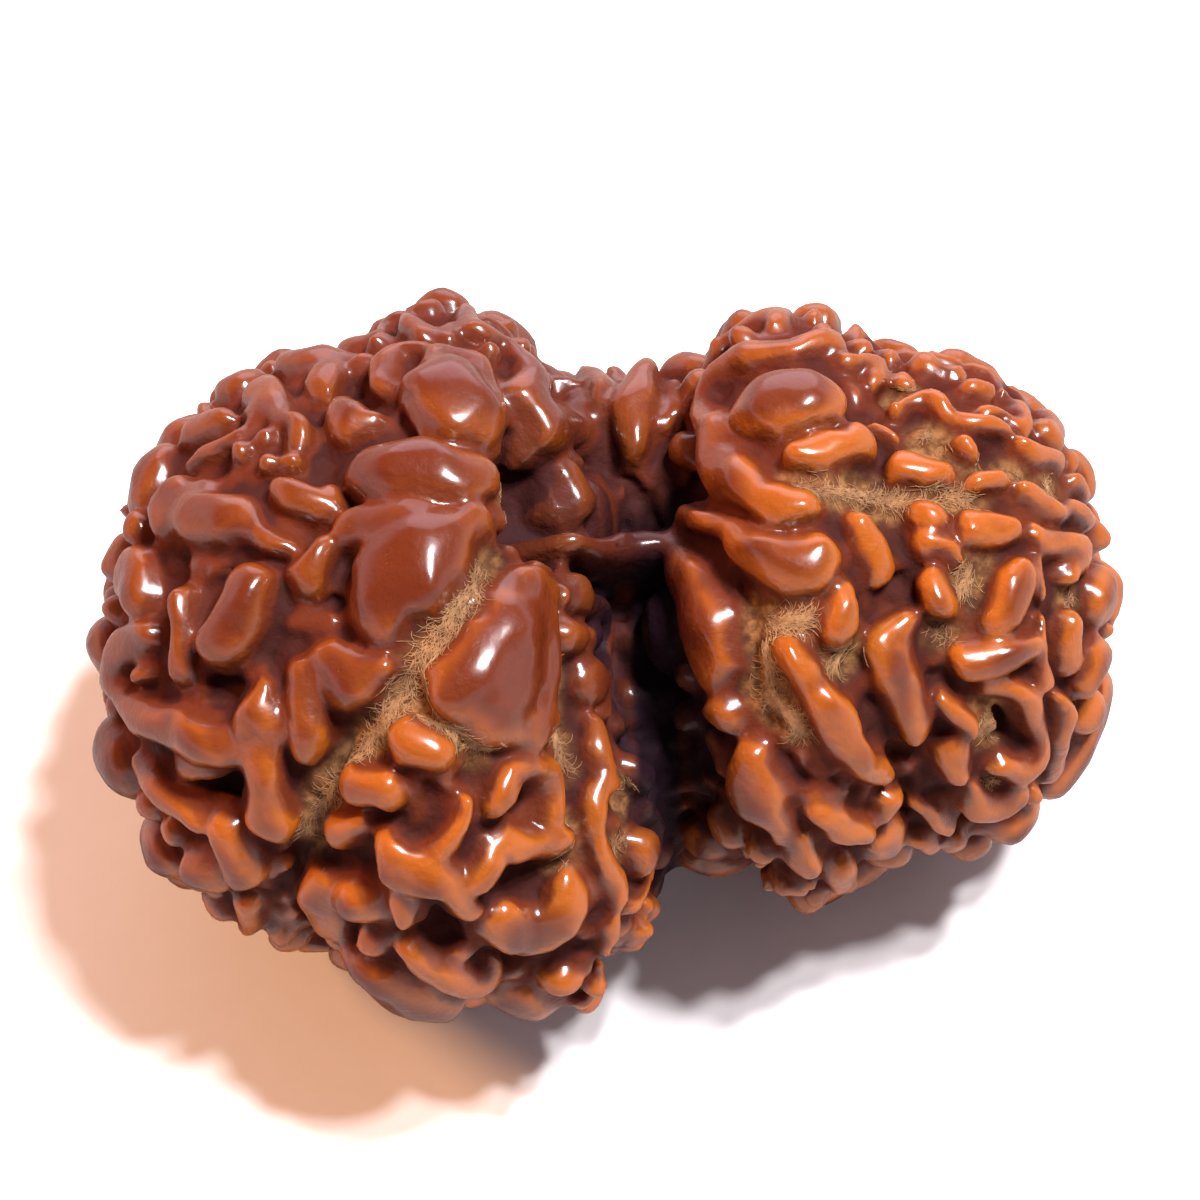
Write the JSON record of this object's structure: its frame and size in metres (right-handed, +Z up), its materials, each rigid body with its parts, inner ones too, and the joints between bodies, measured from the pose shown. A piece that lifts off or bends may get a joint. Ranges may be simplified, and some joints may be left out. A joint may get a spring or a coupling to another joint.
{
  "type": "rudraksha seed",
  "caption": "Double rudraksha seed: two round, deeply warted seed stones grown together side by side, a natural bead stone that rests on its own flat low warts.",
  "frame": {"origin": "centre of the seed's bounding box, at the plane its lowest warts rest on", "axes": "+X along the seed's width, from the larger lobe to the smaller one; +Y away from the side the picture shows; +Z up from the rest"},
  "size_m": [0.0353, 0.0258, 0.0223],
  "materials": {
    "seed_stone": "polished, glossy red-brown"
  },
  "bodies": {
    "root": {"rudraksha_seed": "seed_stone"}
  },
  "joints": []
}
